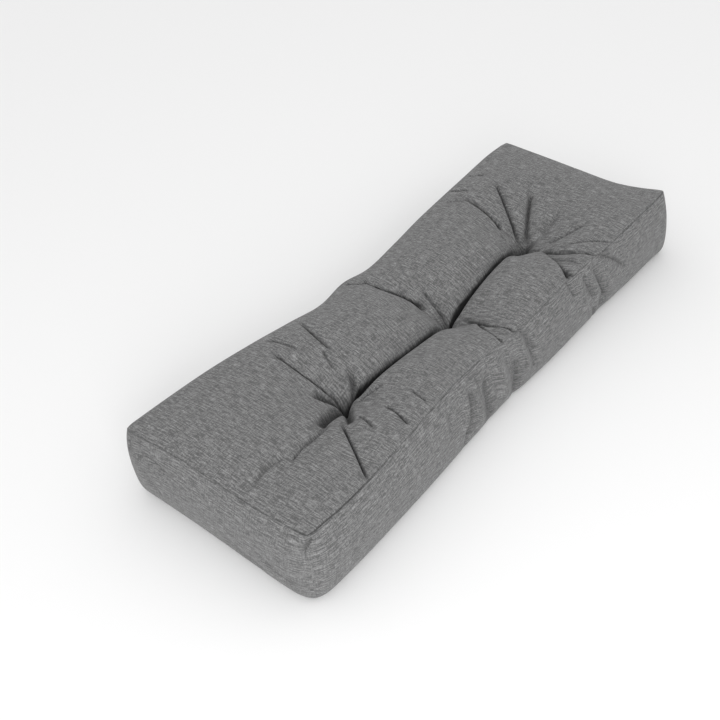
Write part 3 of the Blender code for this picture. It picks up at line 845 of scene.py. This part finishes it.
def press_pits(rows, where):
    """Sinks the top at each tuft, gathers the cloth round it and paints shade there."""
    for i in range(len(rows["x"])):
        off = begun[:, :2] - (rows["x"][i], rows["y"][i])
        far = np.hypot(off[:, 0], off[:, 1])
        near = where & (far < max(rows["reach"][i], PIT_FOOT * rows["wide"][i]))
        groove = np.exp(-(far[near] / rows["wide"][i])**2)
        shape[near, 2] -= rows["deep"][i] * groove * CM
        gather = rows["close"][i] * np.clip(1.0 - (far[near] / rows["reach"][i])**2, 0.0, None)**2
        shape[near, :2] -= off[near] * gather[:, None] * CM
        # painted shade round each tuft
        shadow[near] = np.maximum(shadow[near], groove)


print("shade before the creases:", round(float(shadow.max()), 2), "at most, on the seam")

# %% [markdown]
# ## Press them all
#
# A crease belongs to one panel and stops at its seam, as on the real cover.  Pressing every point
# near a line would let creases run on round the edge, so the points are sorted by panel first.
# Several grooves meet at a tuft, and the filling under it keeps them off the bottom panel.

# %% Which points are on the boxing
is_boxing = np.zeros(len(shape), bool)
panels = vectors(fine.polygons, "material_index", 1).ravel()
for face in fine.polygons:
    if panels[face.index] == BOXING:
        is_boxing[list(face.vertices)] = True
is_top = ~is_boxing
print("points:", int(is_top.sum()), "on the top,", int(is_boxing.sum()), "on the boxing")

# %% Press the top panel
MAIN_FADE_IN = 0.09                 # the main creases open at once, beside a tuft
SLOW_FROM, DEEPEST = 0.050, 0.030   # heights between which the filling stops a groove
ALONG, ACROSS, UP = np.eye(3)

press(MAIN_CREASES, is_top, begun[:, 0], begun[:, 1], (ALONG, ACROSS), fade=MAIN_FADE_IN)
press(TOP_CREASES, is_top, begun[:, 0], begun[:, 1], (ALONG, ACROSS))
press_pits(PITS, is_top)
too_deep = is_top & (shape[:, 2] < SLOW_FROM)
room = SLOW_FROM - DEEPEST
shape[too_deep, 2] = SLOW_FROM - room * np.tanh((SLOW_FROM - shape[too_deep, 2]) / room)
print("lowest point of the top panel:", round(float(shape[is_top, 2].min()) / CM, 2), "cm over the floor")

# %% Press the boxing
NEAR_END_FACE = -55.0   # centimetres along: beyond it lies the near end of the boxing
on_right = is_boxing & (begun[:, 1] < RIGHT_SIDE)
on_near_end = is_boxing & (begun[:, 0] < NEAR_END_FACE)
press(BOXING_CREASES, on_right, begun[:, 0], begun[:, 2], (ALONG, UP), STEEP_ON_BOXING)
press(NEAR_END_CREASES, on_near_end, -begun[:, 1], begun[:, 2], (-ACROSS, UP), STEEP_ON_BOXING)
fine.vertices.foreach_set("co", shape.ravel())
fine.attributes["crease_shadow"].data.foreach_set("value", shadow)
fine.attributes.remove(fine.attributes["start_place"])
fine.update()
print("the cover reaches", round(float(shape[:, 2].max()) / CM, 1), "cm over the floor")

# %% [markdown]
# ## A small language for shaders
#
# Cloth is a pattern of small differences, and here every one of them is worked out from numbers.
# Each sum could be a node placed by hand, but a long chain of them is hard to read.  A class that
# wraps a socket and overloads the operators lets a formula be written as a formula.

# %% Sockets that can be added and multiplied
class Wire:
    """A node's output that arithmetic can be done on."""

    def __init__(self, nodes, socket):
        self.nodes, self.socket = nodes, socket

    def _math(self, operation, *others):
        values = [getattr(other, "socket", other) for other in others]
        return self.nodes.add("ShaderNodeMath", {"operation": operation},
                              dict(enumerate([self.socket] + values)))

    def __add__(self, other):
        return self._math("ADD", other)

    def __mul__(self, other):
        return self._math("MULTIPLY", other)

    def __sub__(self, other):
        return self._math("SUBTRACT", other)

    def __rsub__(self, other):
        return self.nodes.add("ShaderNodeMath", {"operation": "SUBTRACT"}, {0: other, 1: self.socket})

    def __abs__(self):
        return self._math("ABSOLUTE")

    def lowest(self, other):
        return self._math("MINIMUM", other)

    def highest(self, other):
        return self._math("MAXIMUM", other)

    def sine(self):
        return self._math("SINE")

    def between(self, start, end, low_value=0.0, high_value=1.0):
        """Maps start..end smoothly to the two values."""
        return self.nodes.add("ShaderNodeMapRange", {"interpolation_type": "SMOOTHSTEP"},
                              {"Value": self, "From Min": start, "From Max": end,
                               "To Min": low_value, "To Max": high_value}, "Result")

    __radd__, __rmul__ = __add__, __mul__


class Finish:
    """One material's nodes."""

    def __init__(self, name):
        self.material = bpy.data.materials.new(name)
        self.material.use_nodes = True
        self.tree = self.material.node_tree
        self.shader = self.tree.nodes["Principled BSDF"]

    def add(self, kind, settings, sockets, output=0):
        """Any node: its type, its settings, then values or wires for its sockets."""
        node = self.tree.nodes.new(kind)
        for name, value in settings.items():
            setattr(node, name, value)
        for name, value in sockets.items():
            if isinstance(value, Wire):
                value = value.socket
            if isinstance(value, bpy.types.NodeSocket):
                self.tree.links.new(value, node.inputs[name])
            else:
                node.inputs[name].default_value = value
        return Wire(self, node.outputs[output])

    def paint(self, name, wire):
        """Leads a wire to a socket of the material's shader."""
        self.tree.links.new(wire.socket, self.shader.inputs[name])

    def plain(self, values):
        """Sets sockets that are the same all over."""
        for name, value in values.items():
            self.shader.inputs[name].default_value = value


print("shader language ready")

# %% [markdown]
# ## Melange cloth
#
# The cover is a plain weave of mottled polyester: every thread changes between light and dark grey
# along its own length, which shows as short streaks.  On the top panel the streaks run across the
# cushion.  On the boxing both thread directions show, so it looks cross-hatched and a little
# lighter.  An image of cloth would have to be tiled and would show its repeats.  Noise stretched
# along a thread gives streaks that never repeat, and sines give the threads themselves.

# %% Streaks, threads, the stitched edge and the painted shade of the creases
MOTTLE, CLOUDING, DARKEST_YARN, DARKEST_SHADE = 1.15, 0.08, -0.30, 0.03
THIN, LONG = 470.0, 48.0                  # streaks to a metre across a yarn and along it
FLECK_THIN, FLECK_LONG = 500.0, 150.0     # shorter flecks on them
GRAINS, CLOUDS, STITCHES = 560.0, 9.0, 16.0
STREAKS, FLECKS = 1.3, 0.9                # how much each counts
THREAD = 0.00085                          # metres from one thread to the next but one
TURN = 2.0 * math.pi / THREAD
THREAD_SHADE, THREAD_HEIGHT, YARN_HEIGHT = 0.16, 0.35, 0.8
ROUGH, ROUGH_BY_YARN = 0.90, 0.1
SEWN_FROM, SEWN_TO, SEWN_SHADE = 0.0003, 0.0015, 0.4


def melange(name, across, along_share, tone, to_seam):
    """Woven grey with streaks across and along the panel, each to its own share, and painted crease shade.
    """
    cloth = Finish(name)
    place = cloth.add("ShaderNodeUVMap", {"uv_map": "flat_cloth"}, {})
    u, v = (cloth.add("ShaderNodeSeparateXYZ", {}, {"Vector": place}, way) for way in ("X", "Y"))

    def streaks(count_u, count_v, seed, detail=0.0):
        """Noise from 0 to 1, with so many spots to a metre each way."""
        where = cloth.add("ShaderNodeCombineXYZ", {}, {"X": u * count_u, "Y": v * count_v, "Z": seed})
        return cloth.add("ShaderNodeTexNoise", {"noise_dimensions": "3D"},
                         {"Vector": where, "Scale": 1.0, "Detail": detail, "Roughness": 0.6})

    middle = 0.5 * (STREAKS + FLECKS)
    weft = streaks(THIN, LONG, 3.0) * STREAKS + streaks(FLECK_THIN, FLECK_LONG, 7.0) * FLECKS - middle
    warp = streaks(LONG, THIN, 11.0) * STREAKS + streaks(FLECK_LONG, FLECK_THIN, 17.0) * FLECKS - middle
    grain = streaks(GRAINS, GRAINS, 29.0) - 0.5
    cloud = streaks(CLOUDS, CLOUDS, 23.0, detail=1.0) - 0.5
    mottle = (weft * across + warp * along_share + grain).highest(DARKEST_YARN)
    shade = ((mottle * MOTTLE + cloud * CLOUDING + 1.0) * tone).highest(DARKEST_SHADE)
    sewn = to_seam(u, v).between(SEWN_FROM, SEWN_TO, 1.0, 0.0) * streaks(STITCHES, STITCHES, 31.0)
    shade = shade * (1.0 - sewn * SEWN_SHADE)
    # painted shade: crease_shadow darkens the cloth's colour in creases, round tufts and along the seam
    folds = cloth.add("ShaderNodeAttribute", {"attribute_name": "crease_shadow"}, {}, "Fac")
    shade = shade * (1.0 - folds)
    thread = 0.5 + (u * TURN).sine() * (v * TURN).sine() * 0.5
    shade = shade * (thread * THREAD_SHADE + (1.0 - 0.5 * THREAD_SHADE))
    colour = cloth.add("ShaderNodeCombineColor", {}, {"Red": shade, "Green": shade, "Blue": shade})
    cloth.paint("Base Color", colour)
    cloth.paint("Roughness", ROUGH - mottle * ROUGH_BY_YARN)
    height = thread * THREAD_HEIGHT + mottle * YARN_HEIGHT
    bump = cloth.add("ShaderNodeBump", {}, {"Strength": 0.5, "Distance": 0.0006, "Height": height})
    cloth.paint("Normal", bump)
    cloth.plain({"Sheen Weight": 0.12, "Sheen Roughness": 0.5, "Specular IOR Level": 0.25})
    return cloth.material


def top_seam(u, v):
    """Distance from the top panel's seam."""
    return (HALF_LENGTH - abs(u)).lowest(HALF_WIDTH - abs(v))


def boxing_seam(_, v):
    """Distance down the boxing from its seam."""
    return v * -1.0


fine.materials.append(melange("melange_top", 1.0, 0.45, 0.160, top_seam))
fine.materials.append(melange("melange_boxing", 0.38, 1.00, 0.156, boxing_seam))
print("cloths:", [cloth.name for cloth in fine.materials])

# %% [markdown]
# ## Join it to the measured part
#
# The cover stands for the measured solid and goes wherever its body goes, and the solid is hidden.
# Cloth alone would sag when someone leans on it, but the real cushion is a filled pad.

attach(cushion, "root")
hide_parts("cushion")
print("declared:", cushion.name)

# %% [markdown]
# ## The studio
#
# Grey cloth looks flat under light from all round and harsh under a small lamp.  So a pale floor and
# sky give plenty of even light, and one large soft lamp behind the camera gives the lobes their
# shape, while the valleys stay dark from their depth and from the shade painted into them.

# %% Floor and sky
PAPER, SKY = 0.90, 0.92
FAR = 6   # metres of floor to each side

floor_mesh = bpy.data.meshes.new("floor")
floor_mesh.from_pydata([(-FAR, -FAR, 0), (FAR, -FAR, 0), (FAR, FAR, 0), (-FAR, FAR, 0)], [], [(0, 1, 2, 3)])
floor = bpy.data.objects.new("floor", floor_mesh)
bpy.context.scene.collection.objects.link(floor)
paper = Finish("pale_paper")
paper.plain({"Base Color": (PAPER, PAPER, PAPER, 1.0), "Roughness": 0.95})
floor_mesh.materials.append(paper.material)

world = bpy.data.worlds.new("studio")
bpy.context.scene.world = world
world.use_nodes = True
world.node_tree.nodes["Background"].inputs["Color"].default_value = (1.0, 1.0, 1.0, 1.0)
world.node_tree.nodes["Background"].inputs["Strength"].default_value = SKY
print("sky:", SKY, "paper:", PAPER)

# %% A soft lamp
def lamp(name, place, target, size, power):
    """A square soft lamp that faces a point."""
    data = bpy.data.lights.new(name, "AREA")
    data.size, data.energy = size, power
    holder = bpy.data.objects.new(name, data)
    bpy.context.scene.collection.objects.link(holder)
    way = np.array(place, float) - np.array(target, float)
    way /= np.linalg.norm(way)
    side = np.cross((0.0, 0.0, 1.0), way)
    side /= np.linalg.norm(side)
    up = np.cross(way, side)
    turn = Matrix((side, up, way)).transposed().to_4x4()
    turn.translation = place
    holder.matrix_world = turn
    print(name, "lamp:", size, "metres wide,", power, "watts")


lamp("key", place=(-2.1, -1.8, 1.25), target=(0.0, 0.0, 0.1), size=1.6, power=36.0)

# %% [markdown]
# ## The camera
#
# The eye stands beyond the near right corner, a little higher than the cushion is long, and tips
# slightly to one side.  Turning an empty object could aim it, but yaw, pitch and roll are three
# angles that can be read off and changed one at a time.

# %% Camera
CAMERA_AT = (-1.2041, -0.8705, 1.2407)
YAW, PITCH, ROLL = 41.223, 40.056, -4.066
LENS, FILM = 48.99, 36.0   # millimetres
yaw, pitch, roll = (math.radians(angle) for angle in (YAW, PITCH, ROLL))
ahead = np.array((math.cos(yaw) * math.cos(pitch), math.sin(yaw) * math.cos(pitch), -math.sin(pitch)))
level = np.array((math.sin(yaw), -math.cos(yaw), 0.0))
above = np.cross(level, ahead)
right_way = level * math.cos(roll) + above * math.sin(roll)
up_way = -level * math.sin(roll) + above * math.cos(roll)
eye = bpy.data.cameras.new("camera")
eye.lens, eye.sensor_width = LENS, FILM
camera = bpy.data.objects.new("camera", eye)
bpy.context.scene.collection.objects.link(camera)
pose = Matrix((right_way, up_way, -ahead)).transposed().to_4x4()
pose.translation = CAMERA_AT
camera.matrix_world = pose
bpy.context.scene.camera = camera
bpy.context.scene.view_settings.view_transform = "Standard"
print("camera:", round(float(np.linalg.norm(CAMERA_AT)), 2), "metres from the middle of the cushion's foot")

# %% [markdown]
# ## The end
#
# A cover that swelled past the measured solid would no longer fit its seat.

# %% End
print("the cushion scene is set up")
